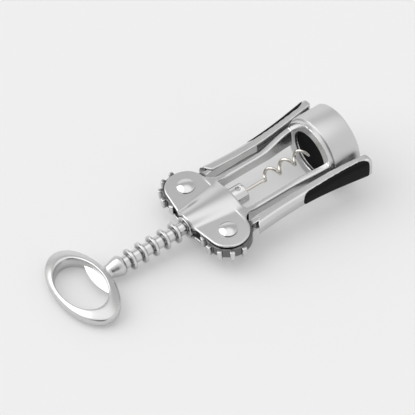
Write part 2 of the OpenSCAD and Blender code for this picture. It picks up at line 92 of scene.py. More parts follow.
class Value:
    """A node socket that takes part in Python arithmetic."""

    def __init__(self, graph: Graph, socket: bpy.types.NodeSocket) -> None:
        """Keeps the socket and the graph that it belongs to."""
        self.graph = graph
        self.socket = socket

    def output(self, name: str) -> Value:
        """Another output of the same node."""
        return Value(self.graph, self.socket.node.outputs[name])

    def math(self, operation: str, *terms: Any) -> Value:
        """A Math node on this value and further terms."""
        inputs = dict(enumerate((self, *terms)))
        return self.graph.add("ShaderNodeMath", {"operation": operation}, inputs)

    def __add__(self, other: Any) -> Value:
        """self + other."""
        return self.math("ADD", other)

    __radd__ = __add__

    def __mul__(self, other: Any) -> Value:
        """self * other."""
        return self.math("MULTIPLY", other)

    __rmul__ = __mul__

    def __sub__(self, other: Any) -> Value:
        """self - other."""
        return self.math("SUBTRACT", other)

    def __rsub__(self, other: Any) -> Value:
        """other - self."""
        return self * -1.0 + other

    def __truediv__(self, other: Any) -> Value:
        """self / other."""
        return self.math("DIVIDE", other)

    def __pow__(self, other: Any) -> Value:
        """self ** other."""
        return self.math("POWER", other)

    def sin(self) -> Value:
        """Sine of an angle in radians."""
        return self.math("SINE")

    def cos(self) -> Value:
        """Cosine of an angle in radians."""
        return self.math("COSINE")

    def smallest(self, other: Any) -> Value:
        """The smaller of this value and another."""
        return self.math("MINIMUM", other)

    def clamped(self) -> Value:
        """The value held between 0 and 1."""
        return self.graph.add("ShaderNodeClamp", {}, {"Value": self})


class Graph:
    """A node tree that is written as calls and expressions."""

    def __init__(self, tree: bpy.types.NodeTree) -> None:
        """Keeps the tree that the nodes go into."""
        self.tree = tree

    def add(
        self,
        kind: str,
        settings: Mapping[str, Any] | None = None,
        inputs: Mapping[int | str, Any] | None = None,
        output: int | str = 0,
    ) -> Value:
        """Adds one node.

        Args:
            kind: the node's type name.
            settings: attributes set before the sockets.
            inputs: a value or a Value for each socket, by index or name.
            output: which output the result wraps.

        Returns:
            The chosen output, ready for arithmetic.
        """
        node = self.tree.nodes.new(kind)
        for name, setting in (settings or {}).items():
            setattr(node, name, setting)
        for key, value in (inputs or {}).items():
            if isinstance(value, Value):
                self.tree.links.new(value.socket, node.inputs[key])
            else:
                node.inputs[key].default_value = value
        return Value(self, node.outputs[output]) if node.outputs else None

    def mix_colour(self, share: Any, first: Any, second: Any) -> Value:
        """Blends two colours.

        Args:
            share: 0 gives the first colour and 1 the second.
            first: a colour or a Value.
            second: a colour or a Value.

        Returns:
            The blended colour.
        """
        settings = {"data_type": "RGBA", "blend_type": "MIX"}
        inputs = {0: share, 6: first, 7: second}
        return self.add("ShaderNodeMix", settings, inputs, output=2)


def rgba(level: float | Sequence[float]) -> tuple[float, float, float, float]:
    """A colour with full alpha, from a grey level or three channels."""
    red, green, blue = (level, level, level) if isinstance(level, float) else level
    return (red, green, blue, 1.0)


# --------------------------------------------------------------- finishes


class Slot(Enum):
    """The record's material slots."""

    SATIN = "satin_nickel"
    CHROME = "polished_chrome"
    BELL = "brushed_bell"
    WORM = "worm_steel"
    PLASTIC = "black_plastic"
    RUBBER = "black_rubber"


@dataclass(frozen=True)
class Finish(ABC):
    """A named surface finish that can make its own material."""

    slot: Slot

    def material(self) -> bpy.types.Material:
        """Builds the finish as a node material."""
        material = bpy.data.materials.new(self.slot.value)
        material.use_nodes = True
        graph = Graph(material.node_tree)
        shader = material.node_tree.nodes["Principled BSDF"]
        for name, value in self.sockets(graph).items():
            if isinstance(value, Value):
                graph.tree.links.new(value.socket, shader.inputs[name])
            else:
                shader.inputs[name].default_value = value
        return material

    @abstractmethod
    def sockets(self, graph: Graph) -> dict[str, Any]:
        """Values and links for the shader's sockets."""

    @staticmethod
    def noise(graph: Graph, scale: Point3, detail: float = 3.0, turn: float = 0.0) -> Value:
        """Smooth noise from 0 to 1, fixed to the piece by its Object coordinates.

        Args:
            graph: the graph that takes the nodes.
            scale: cells in a metre along each axis.
            detail: octaves.
            turn: angle of the pattern about Y, in radians.

        Returns:
            The noise value.
        """
        place = graph.add("ShaderNodeTexCoord", output="Object")
        inputs = {"Vector": place, "Rotation": (0.0, turn, 0.0)}
        place = graph.add("ShaderNodeMapping", {}, inputs)
        place = graph.add("ShaderNodeMapping", {}, {"Vector": place, "Scale": scale})
        inputs = {"Vector": place, "Scale": 1.0, "Detail": detail}
        return graph.add("ShaderNodeTexNoise", {}, inputs)

    @staticmethod
    def bump(graph: Graph, height: Value, depth: float) -> Value:
        """A bumped normal.

        Args:
            graph: the graph that takes the node.
            height: relief from 0 to 1.
            depth: height of the relief, in metres.

        Returns:
            The normal.
        """
        inputs = {"Strength": 1.0, "Distance": depth, "Height": height}
        return graph.add("ShaderNodeBump", {}, inputs)


@dataclass(frozen=True)
class Metal(Finish):
    """Metal that is duller in patches, with painted shade darkening it where a piece is recessed.
    """

    colour: Point3
    roughness: float
    dulled: float = 0.94
    spread: float = 0.06
    # Dark colour painted into recessed places as painted shade, where real shade would fall.
    shade_colour: Point3 = (0.17, 0.17, 0.17)

    def plated(self, graph: Graph, bright: Value, rough: Value) -> dict[str, Any]:
        """Sockets that all metals have.

        Args:
            graph: the graph that takes the nodes.
            bright: how bright the colour is, from 0 to 1.
            rough: how rough the surface is within its spread, from 0 to 1.

        Returns:
            Values for the shader's sockets.
        """
        dull = tuple(self.dulled * channel for channel in self.colour)
        colour = graph.mix_colour(bright, rgba(dull), rgba(self.colour))
        # Painted shade: a per-corner attribute blends the base colour towards the dark shade colour
        # where a piece is recessed.
        recess = graph.add("ShaderNodeAttribute", {"attribute_name": "recess"}, output="Fac")
        return {
            "Base Color": graph.mix_colour(recess, colour, rgba(self.shade_colour)),
            "Metallic": 1.0,
            "Roughness": self.roughness - self.spread / 2 + rough * self.spread,
        }


@dataclass(frozen=True)
class SatinMetal(Metal):
    """Cast metal under satin plating, with a fine peened grain and soft mottling."""

    colour: Point3 = (0.67, 0.67, 0.667)
    roughness: float = 0.24
    dulled: float = 0.96
    spread: float = 0.04
    # Painted shade colour for the casting's gear pocket and the insides of the lever channels.
    shade_colour: Point3 = (0.48, 0.48, 0.478)
    grain_m: float = 0.0000004
    grain_cells: float = 2600.0
    mottling_cells: float = 60.0

    def sockets(self, graph: Graph) -> dict[str, Any]:
        """Values and links for the shader's sockets."""
        mottling = self.noise(graph, (self.mottling_cells,) * 3, 4.0)
        grain = self.noise(graph, (self.grain_cells,) * 3, 2.0)
        normal = self.bump(graph, grain, self.grain_m)
        return {**self.plated(graph, mottling, mottling), "Normal": normal}


@dataclass(frozen=True)
class PolishedMetal(Metal):
    """Bright plating with faint handling marks in its gloss."""

    colour: Point3 = (0.7, 0.7, 0.697)
    roughness: float = 0.08
    marks_cells: float = 260.0

    def sockets(self, graph: Graph) -> dict[str, Any]:
        """Values and links for the shader's sockets."""
        marks = self.noise(graph, (self.marks_cells,) * 3, 5.0)
        return self.plated(graph, marks, marks)


@dataclass(frozen=True)
class BrushedMetal(Metal):
    """Steel brushed round the bell, in fine lines of differing gloss."""

    colour: Point3 = (0.68, 0.68, 0.678)
    roughness: float = 0.36
    dulled: float = 0.88
    spread: float = 0.12
    line_cells: Point3 = (5200.0, 34.0, 34.0)
    cloud_cells: Point3 = (90.0, 60.0, 60.0)
    line_share: float = 0.6
    depth_m: float = 0.000002
    turn: float = 0.0

    def sockets(self, graph: Graph) -> dict[str, Any]:
        """Values and links for the shader's sockets."""
        lines = self.noise(graph, self.line_cells, 3.0, self.turn)
        clouds = self.noise(graph, self.cloud_cells, 2.0, self.turn)
        bright = lines * self.line_share + clouds * (1 - self.line_share)
        normal = self.bump(graph, lines, self.depth_m)
        return {**self.plated(graph, bright, lines), "Normal": normal}


@dataclass(frozen=True)
class Moulding(Finish):
    """Dark moulded plastic or rubber with a fine matt texture."""

    colour: Point3 = (0.004, 0.004, 0.0042)
    worn: Point3 = (0.008, 0.008, 0.0082)
    roughness: float = 0.6
    gloss: float = 0.14
    texture_cells: float = 3200.0
    texture_m: float = 0.000012
    wear_cells: float = 150.0
    spread: float = 0.1

    def sockets(self, graph: Graph) -> dict[str, Any]:
        """Values and links for the shader's sockets."""
        texture = self.noise(graph, (self.texture_cells,) * 3, 2.0)
        wear = self.noise(graph, (self.wear_cells,) * 3, 4.0)
        return {
            "Base Color": graph.mix_colour(wear, rgba(self.colour), rgba(self.worn)),
            "Metallic": 0.0,
            "Specular IOR Level": self.gloss,
            "Roughness": self.roughness - self.spread / 2 + wear * self.spread,
            "Normal": self.bump(graph, texture, self.texture_m),
        }


# ------------------------------------------------------------- mesh tools


@dataclass(frozen=True)
class ToolFrame:
    """Where the tool lies: turns points of the tool, in mm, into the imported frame."""

    matrix: Matrix

    @classmethod
    def from_joints(cls, joints: Sequence[Mapping[str, Any]]) -> ToolFrame:
        """Reads the tool's axes and origin from its joints.

        Args:
            joints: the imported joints.

        Returns:
            The frame between the two lever pivots.
        """
        by_name = {joint["name"]: joint for joint in joints}
        left = by_name["left_lever_pivot"]
        origin = (Vector(left["pos_m"]) + Vector(by_name["right_lever_pivot"]["pos_m"])) / 2
        x_axis = Vector(by_name["rack_slide"]["axis"]).normalized()
        z_axis = Vector(left["axis"]).normalized()
        y_axis = z_axis.cross(x_axis)
        turn = Matrix((x_axis, y_axis, z_axis)).transposed().to_4x4()
        return cls(Matrix.Translation(origin) @ turn @ Matrix.Scale(MM, 4))

    @property
    def pitch(self) -> float:
        """Angle by which the bell end is raised, in radians."""
        x_axis = self.matrix.to_3x3() @ Vector((1.0, 0.0, 0.0))
        return math.asin(x_axis.z / x_axis.length)

    def place(self, points: np.ndarray) -> np.ndarray:
        """Points of the tool, in mm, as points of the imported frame, in metres."""
        matrix = np.array(self.matrix)
        return points @ matrix[:3, :3].T + matrix[:3, 3]


@dataclass(frozen=True)
class Workshop:
    """Turns points and faces into finished objects that ride on a body."""

    tool: ToolFrame
    materials: Mapping[Slot, bpy.types.Material]

    def fit(self, name: str, shape: Shape, body: str, slot: Slot, *nodes: str,
            crease: float = 40.0, recess: np.ndarray | None = None) -> None:
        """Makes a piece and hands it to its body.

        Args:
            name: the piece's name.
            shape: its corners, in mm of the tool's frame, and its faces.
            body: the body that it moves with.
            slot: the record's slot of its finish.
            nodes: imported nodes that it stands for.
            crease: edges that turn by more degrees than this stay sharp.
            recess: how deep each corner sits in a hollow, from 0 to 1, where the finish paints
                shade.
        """
        points, faces = shape
        mesh = bpy.data.meshes.new(name)
        corners = self.tool.place(np.asarray(points, float)).tolist()
        mesh.from_pydata(corners, [], [list(face) for face in faces])
        skin = bmesh.new()
        skin.from_mesh(mesh)
        if skin.calc_volume(signed=True) < 0:
            bmesh.ops.reverse_faces(skin, faces=skin.faces)
        limit = math.radians(crease)
        for face in skin.faces:
            face.smooth = True
        for edge in skin.edges:
            edge.smooth = not edge.is_manifold or edge.calc_face_angle() < limit
        skin.to_mesh(mesh)
        skin.free()
        # Painted shade: store how deep each corner sits in a hollow, which the metal finishes
        # darken as painted shade.
        if recess is not None:
            attribute = mesh.attributes.new("recess", "FLOAT", "POINT")
            attribute.data.foreach_set("value", recess.astype(np.float32))
        mesh.materials.append(self.materials[slot])
        piece = bpy.data.objects.new(name, mesh)
        bpy.context.scene.collection.objects.link(piece)
        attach(piece, body)
        if nodes:
            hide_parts(*nodes)
        LOG.info("%s on %s: %d faces", name, body, len(mesh.polygons))


def turned(path: Sequence[Point2], steps: int = 128) -> Shape:
    """Turns a path of (x, radius) points about the tool's axis.

    Args:
        path: points in order; radius 0 at both ends closes it with poles, and
            otherwise the path is closed on itself.
        steps: facets round the axis.

    Returns:
        Points and faces.
    """
    angles = np.arange(steps) * (2 * math.pi / steps)
    ring = np.stack([np.cos(angles), np.sin(angles)], 1)
    points: list[np.ndarray] = []
    rows: list[list[int]] = []
    for x, radius in path:
        first = len(points)
        if radius < 1e-9:
            points.append(np.array([x, 0.0, 0.0]))
            rows.append([first] * steps)
        else:
            points.extend(np.array([x, radius * c, radius * s]) for c, s in ring)
            rows.append(list(range(first, first + steps)))
    pairs = list(zip(rows, rows[1:]))
    if path[0][1] > 1e-9:
        pairs.append((rows[-1], rows[0]))
    faces = []
    for low, high in pairs:
        for k in range(steps):
            m = (k + 1) % steps
            corners = [low[k], low[m], high[m], high[k]]
            faces.append(list(dict.fromkeys(corners)))
    return np.array(points), faces


def filleted(path: Sequence[Point3], closed: bool = True, steps: int = 5) -> list[Point2]:
    """Rounds the corners of a path.

    Args:
        path: (x, y, radius) corners.
        closed: whether the path returns to its start.
        steps: points on each rounded corner, less one.

    Returns:
        The path with arcs in place of the rounded corners.
    """
    result: list[Point2] = []
    count = len(path)
    for k, (x, y, radius) in enumerate(path):
        here = Vector((x, y))
        if radius <= 0 or (not closed and k in (0, count - 1)):
            result.append((x, y))
            continue
        before = Vector(path[k - 1][:2]) - here
        after = Vector(path[(k + 1) % count][:2]) - here
        half = before.angle(after) / 2
        reach = min(radius / math.tan(half), 0.49 * before.length, 0.49 * after.length)
        size = reach * math.tan(half)
        inward = (before.normalized() + after.normalized()).normalized()
        middle = here + inward * (size / math.sin(half))
        start = here + before.normalized() * reach - middle
        stop = here + after.normalized() * reach - middle
        sweep = math.atan2(start.x * stop.y - start.y * stop.x, start.dot(stop))
        for j in range(steps + 1):
            angle = sweep * j / steps
            c, s = math.cos(angle), math.sin(angle)
            turn_x, turn_y = start.x * c - start.y * s, start.x * s + start.y * c
            result.append((middle.x + turn_x, middle.y + turn_y))
    return result


# ------------------------------------------------------- distance fields


@dataclass(frozen=True)
class Block:
    """A block of space, cut into cubes, in which a shape is given by its distance field."""

    low: Point3
    high: Point3
    step: float

    def axes(self) -> tuple[np.ndarray, np.ndarray, np.ndarray]:
        """Coordinates along X, Y and Z, shaped so that they spread into a block."""
        spans = [np.arange(a, b + self.step, self.step) for a, b in zip(self.low, self.high)]
        return spans[0][:, None, None], spans[1][None, :, None], spans[2][None, None, :]

    def skin(self, distance: np.ndarray) -> Shape:
        """The surface where a distance field is zero.

        Args:
            distance: signed distance in each cube, below zero inside.

        Returns:
            Points in mm and four-cornered faces.
        """
        band = 3 * self.step
        grid = openvdb.FloatGrid(band)
        grid.copyFromArray(np.clip(distance, -band, band).astype(np.float32))
        grid.gridClass = openvdb.GridClass.LEVEL_SET
        points, quads = grid.convertToQuads(0.0)
        return points * self.step + np.array(self.low), quads


def merged(first: np.ndarray, second: np.ndarray, blend: float = 0.0) -> np.ndarray:
    """Union of two distance fields, with a fillet of about the given size."""
    if blend <= 0:
        return np.minimum(first, second)
    share = np.clip(0.5 + 0.5 * (second - first) / blend, 0, 1)
    return second + (first - second) * share - blend * share * (1 - share)


def common(first: np.ndarray, second: np.ndarray, blend: float = 0.0) -> np.ndarray:
    """Intersection of two distance fields, with an edge rounded by about the given size."""
    return -merged(-first, -second, blend)


def square(first: np.ndarray, second: np.ndarray) -> np.ndarray:
    """Distance to the square corner in which both values are below zero."""
    outside = np.hypot(np.maximum(first, 0), np.maximum(second, 0))
    return outside + np.minimum(np.maximum(first, second), 0)


def oval(x: np.ndarray, y: np.ndarray, half_x: float, half_y: float) -> np.ndarray:
    """Distance to an oval round the origin, near its edge."""
    size = np.hypot(x / half_x, y / half_y)
    slope = np.hypot(x / half_x ** 2, y / half_y ** 2) / np.maximum(size, 1e-6)
    return (size - 1) / np.maximum(slope, 1e-6)


def disc(x: np.ndarray, y: np.ndarray, centre: Point2, radius: float) -> np.ndarray:
    """Distance to a disc."""
    return np.hypot(x - centre[0], y - centre[1]) - radius


def polygon(x: np.ndarray, y: np.ndarray, corners: Sequence[Point2]) -> np.ndarray:
    """Signed distance to a polygon.

    Args:
        x: first coordinate of the tested points.
        y: second coordinate of the tested points.
        corners: the polygon's corners.

    Returns:
        The distance, below zero inside.
    """
    nearest = np.full(np.broadcast(x, y).shape, np.inf)
    inside = np.zeros(nearest.shape, bool)
    for (ax, ay), (bx, by) in zip(corners, [*corners[1:], corners[0]]):
        ex, ey = bx - ax, by - ay
        wx, wy = x - ax, y - ay
        share = np.clip((wx * ex + wy * ey) / max(ex * ex + ey * ey, 1e-12), 0, 1)
        nearest = np.minimum(nearest, (wx - ex * share) ** 2 + (wy - ey * share) ** 2)
        crosses = (ay > y) != (by > y)
        if ey:
            inside ^= crosses & (x < ex * wy / ey + ax)
    return np.where(inside, -1, 1) * np.sqrt(nearest)


def slab(flat: np.ndarray, height: np.ndarray, half: float, edge: float) -> np.ndarray:
    """A flat shape given thickness, with rounded edges.

    Args:
        flat: distance field of the outline.
        height: distance from the middle of the thickness.
        half: half the thickness.
        edge: radius of the rounded edges.

    Returns:
        The distance field of the slab.
    """
    return square(flat + edge, np.abs(height) - half + edge) - edge


def eased(share: np.ndarray | float) -> np.ndarray | float:
    """A share from 0 to 1 that starts and ends level."""
    held = np.clip(share, 0, 1)
    return held * held * (3 - 2 * held)


def swept(start: Point2, stop: Point2, steps: int = 16) -> list[Point2]:
    """Points of an S curve that leaves one point and arrives at another along X."""
    length, rise = stop[0] - start[0], stop[1] - start[1]
    shares = [k / steps for k in range(steps + 1)]
    return [(start[0] + length * share, start[1] + rise * float(eased(share))) for share in shares]


@dataclass
class Shared:
    """Sizes, in mm, that more than one sub-assembly needs."""

    pivot_y: float = 17.7
    frame_half: float = 4.6
    core_r: float = 17.87
    ring_spacing: float = 6.55
    flank: float = math.radians(16)
    neck_x: float = 50.0


# ------------------------------------------------------------ the casting


@dataclass
class CastBody(Shared):
    """The frame: face plates, rack housing, rails and the bell's flange."""

    plate_t: float = 1.5
    ear_r: float = 10.8
    ear_sweep: float = math.radians(8.5)
    ear_fillet: float = 6.0
    ear_crown: float = 0.4
    crown_y: Point2 = (10.0, 28.5)
    rail_out: Point2 = (14.4, 17.2)
    rail_in: Point2 = (11.2, 13.6)
    rail_half: Point2 = (3.0, 5.2)
    window_x: float = 14.4
    window_corner: float = 1.6
    flare_x: float = 39.0
    step_x: Point2 = (11.0, 21.0)
    bridge_x: float = 9.5
    boss_half: Point2 = (6.0, 9.2)
    boss_rise: Point2 = (2.7, 2.0)
    bore_r: float = 5.75
    pocket_r: float = 14.6
    bell_x: float = 63.3
    flange_t: float = 2.4
    flange_hole_r: float = 12.25
    core_inner_r: float = 16.27
    core_end_x: float = 79.9
    overlap: float = 0.5
    flare_lag: float = 4.0
    window_past: float = 3.0
    small_blend: float = 0.5
    rail_edge: float = 0.9
    band: float = 0.15
    space: tuple[Point3, Point3] = ((-16.0, -29.6, -19.0), (66.6, 29.6, 19.0))
    housing_edge: float = 0.8
    housing_blend: float = 1.3
    flange_blend: float = 0.9
    below: float = -6.0
    edge: float = 0.65
    voxel: float = 0.38

    def outline(self, x: np.ndarray, y: np.ndarray) -> np.ndarray:
        """Distance to the frame's outline without its window."""
        tangent = (-self.ear_r * math.cos(self.ear_sweep),
                   self.pivot_y + self.ear_r * math.sin(self.ear_sweep))
        slope = math.tan(self.ear_sweep)
        hollow_y = self.rail_out[0] + self.ear_fillet
        hollow_x = math.sqrt((self.ear_r + self.ear_fillet) ** 2 - (hollow_y - self.pivot_y) ** 2)
        end_x = self.bell_x + self.overlap
        flare = swept((self.flare_x, self.rail_out[0]), (end_x, self.rail_out[1]))
        start_x = tangent[0] - slope * (tangent[1] - self.below)
        corners = [(start_x, self.below), tangent, (0.0, self.pivot_y), (hollow_x, hollow_y),
                   (hollow_x, self.rail_out[0]), *flare, (end_x, self.below)]
        body = common(polygon(x, y, corners), -disc(x, y, (hollow_x, hollow_y), self.ear_fillet))
        return merged(disc(x, y, (0.0, self.pivot_y), self.ear_r), body)

    def window(self, x: np.ndarray, y: np.ndarray) -> np.ndarray:
        """Distance to the window between the rails."""
        inset = self.window_corner
        end_x = self.bell_x + self.window_past
        side, side_end = (value - inset for value in self.rail_in)
        start_x = self.window_x + inset
        flare = swept((self.flare_x + self.flare_lag, side), (self.bell_x, side_end))
        corners = [(start_x, self.below), (start_x, side), *flare, (end_x, side_end),
                   (end_x, self.below)]
        return polygon(x, y, corners) - inset

    def side_half(self, x: np.ndarray) -> np.ndarray:
        """Half the casting's thickness along the tool."""
        thin = eased((x - self.step_x[0]) / (self.step_x[1] - self.step_x[0]))
        spread = eased((x - self.flare_x) / (self.bell_x - self.flare_x))
        thin_half, end_half = self.rail_half
        half = self.frame_half + (thin_half - self.frame_half) * thin
        return half + (end_half - thin_half) * spread

    def housing(self, x: np.ndarray, y: np.ndarray, z: np.ndarray) -> np.ndarray:
        """Distance to the round housing over the rack, on both faces."""
        top_x = -self.ear_r / math.cos(self.ear_sweep)
        share = np.clip((x - top_x) / (self.window_x - top_x), 0, 1)
        half = self.boss_half[0] + (self.boss_half[1] - self.boss_half[0]) * share
        rise = self.boss_rise[0] + (self.boss_rise[1] - self.boss_rise[0]) * share
        radius = (half ** 2 + rise ** 2) / (2 * rise)
        depth = np.abs(z) - (self.frame_half + rise - radius)
        return np.maximum(np.hypot(y, depth) - radius, self.frame_half - self.plate_t - np.abs(z))

    def build(self, shop: Workshop) -> None:
        """Makes the casting and hands it over."""
        block = Block(*self.space, self.voxel)
        x, y, z = block.axes()
        y_abs = np.abs(y)
        outline = self.outline(x, y_abs)
        open_outline = common(outline, -self.window(x, y_abs))
        gap_half = self.frame_half - self.plate_t
        plate_middle = (self.frame_half + gap_half) / 2
        ear = np.clip((y_abs - self.crown_y[0]) / (self.crown_y[1] - self.crown_y[0]), 0, 1)
        top = self.side_half(x) - self.ear_crown * ear ** 2
        flat = np.maximum(open_outline, x - self.step_x[1])
        plates = slab(flat, np.abs(z) - plate_middle, self.plate_t / 2, self.edge)
        plates = common(plates, np.abs(z) - top, self.edge)
        rails = slab(np.maximum(open_outline, self.bridge_x - x), z, top, self.rail_edge)
        pocket = disc(x, y_abs, (0.0, self.pivot_y), self.pocket_r)
        pocket = np.maximum(pocket, np.abs(z) - gap_half)
        body = merged(plates, common(rails, -pocket))
        housing = common(self.housing(x, y, z), outline, self.housing_edge)
        housing = common(housing, x - self.window_x, self.housing_edge)
        body = merged(body, housing, self.housing_blend)
        radius = np.hypot(y, z)
        bore = np.maximum(radius - self.bore_r, x - self.window_x - 1)
        body = common(body, -bore, self.small_blend)
        half = self.flange_t / 2
        wall = np.maximum(np.abs(x - self.bell_x - half) - half, radius - self.core_r)
        flange = common(wall, self.flange_hole_r - radius, self.small_blend)
        body = merged(body, flange, self.flange_blend)
        points, faces = block.skin(body)
        # Painted shade: corners on the inner walls of the gap between the face plates, round the
        # gear pocket, are marked to be darkened.
        px, py, pz = np.abs(points).T
        near = np.hypot(px, py - self.pivot_y) < self.pocket_r + 2 * self.band
        inside = near & (pz < gap_half + self.band)
        casting = (points, faces)
        shop.fit("frame_casting", casting, "frame", Slot.SATIN, "frame", recess=inside * 1.0)
        self.build_core(shop)

    def build_core(self, shop: Workshop) -> None:
        """Makes the wall inside the bell sleeve."""
        start = self.bell_x + self.flange_t / 2
        path = [(start, self.core_inner_r, 0.0), (start, self.core_r, 0.3),
                (self.core_end_x, self.core_r, 0.3), (self.core_end_x, self.core_inner_r, 0.3)]
        shop.fit("bell_core_wall", turned(filleted(path)), "frame", Slot.SATIN)


@dataclass
class Bell(Shared):
    """The brushed sleeve round the bell and the dark guide inside it."""

    sleeve_x: float = 65.7
    sleeve_len: float = 15.5
    outer_r: float = 18.99
    sleeve_t: float = 1.1
    guide_r: float = 16.25
    socket_r: float = 15.25
    guide_floor: float = 1.2
    hole_r: float = 12.6
    mouth_bevel: float = 1.4

    def build(self, shop: Workshop) -> None:
        """Makes both pieces and hands them over."""
        end = self.sleeve_x + self.sleeve_len
        inner = self.outer_r - self.sleeve_t
        sleeve = [(self.sleeve_x, inner, 0.15), (self.sleeve_x, self.outer_r, 0.4),
                  (end, self.outer_r, 0.4), (end, inner, 0.15)]
        band = turned(filleted(sleeve), 192)
        shop.fit("bell_sleeve_band", band, "frame", Slot.BELL, "bell_sleeve")
        floor_x = self.sleeve_x + self.guide_floor
        lip_x = end - self.guide_floor
        guide = [(self.sleeve_x, self.hole_r, 0.3), (self.sleeve_x, self.guide_r, 0.2),
                 (lip_x, self.guide_r, 0.1), (lip_x, self.core_r, 0.1), (end, self.core_r, 0.25),
                 (end, self.socket_r + 0.4, 0.4),
                 (end - self.mouth_bevel, self.socket_r, 0.4),
                 (floor_x, self.socket_r, 0.4), (floor_x, self.hole_r, 0.3)]
        liner = turned(filleted(guide), 160)
        shop.fit("bottle_guide_liner", liner, "frame", Slot.PLASTIC, "bottle_guide")


# -------------------------------------------------------------- the rivets


@dataclass
class Rivets(Shared):
    """The two pivot rivets, with domed heads."""

    shank_r: float = 2.5
    front_r: float = 4.6
    front_h: float = 1.6
    rear_r: float = 4.0
    rear_h: float = 1.2
    foot_h: Point2 = (0.35, 0.3)
    crease: float = 30.0

    @staticmethod
    def dome(base: float, height: float, foot: float, steps: int = 10) -> list[Point2]:
        """Rounded head, from its foot to its top, as (height, radius) points.

        Args:
            base: radius of the head.
            height: height of its top.
            foot: height of its straight foot.
            steps: points on the dome, less one.

        Returns:
            The profile above the seat.
        """
        rise = height - foot
        radius = (base ** 2 + rise ** 2) / (2 * rise)
        reach = math.asin(base / radius)
        return [
            (height - radius + radius * math.cos(reach * (1 - k / steps)),
             radius * math.sin(reach * (1 - k / steps)))
            for k in range(steps + 1)
        ]

    def build(self, shop: Workshop) -> None:
        """Makes both rivets and hands them over."""
        seat = self.frame_half
        front = [(seat + h, r) for h, r in self.dome(self.front_r, self.front_h, self.foot_h[0])]
        rear = [(-seat - h, r) for h, r in self.dome(self.rear_r, self.rear_h, self.foot_h[1])]
        path = [*reversed(rear), (-seat, self.rear_r), (-seat, self.shank_r), (seat, self.shank_r),
                (seat, self.front_r), *front]
        points, faces = turned(path, 96)
        upright = points[:, [1, 2, 0]]
        for side, y in (("left", self.pivot_y), ("right", -self.pivot_y)):
            shape = (upright + (0.0, y, 0.0), faces)
            node = f"{side}_pivot_rivet"
            shop.fit(f"{side}_rivet", shape, "frame", Slot.CHROME, node, crease=self.crease)


# -------------------------------------------------------------- the levers


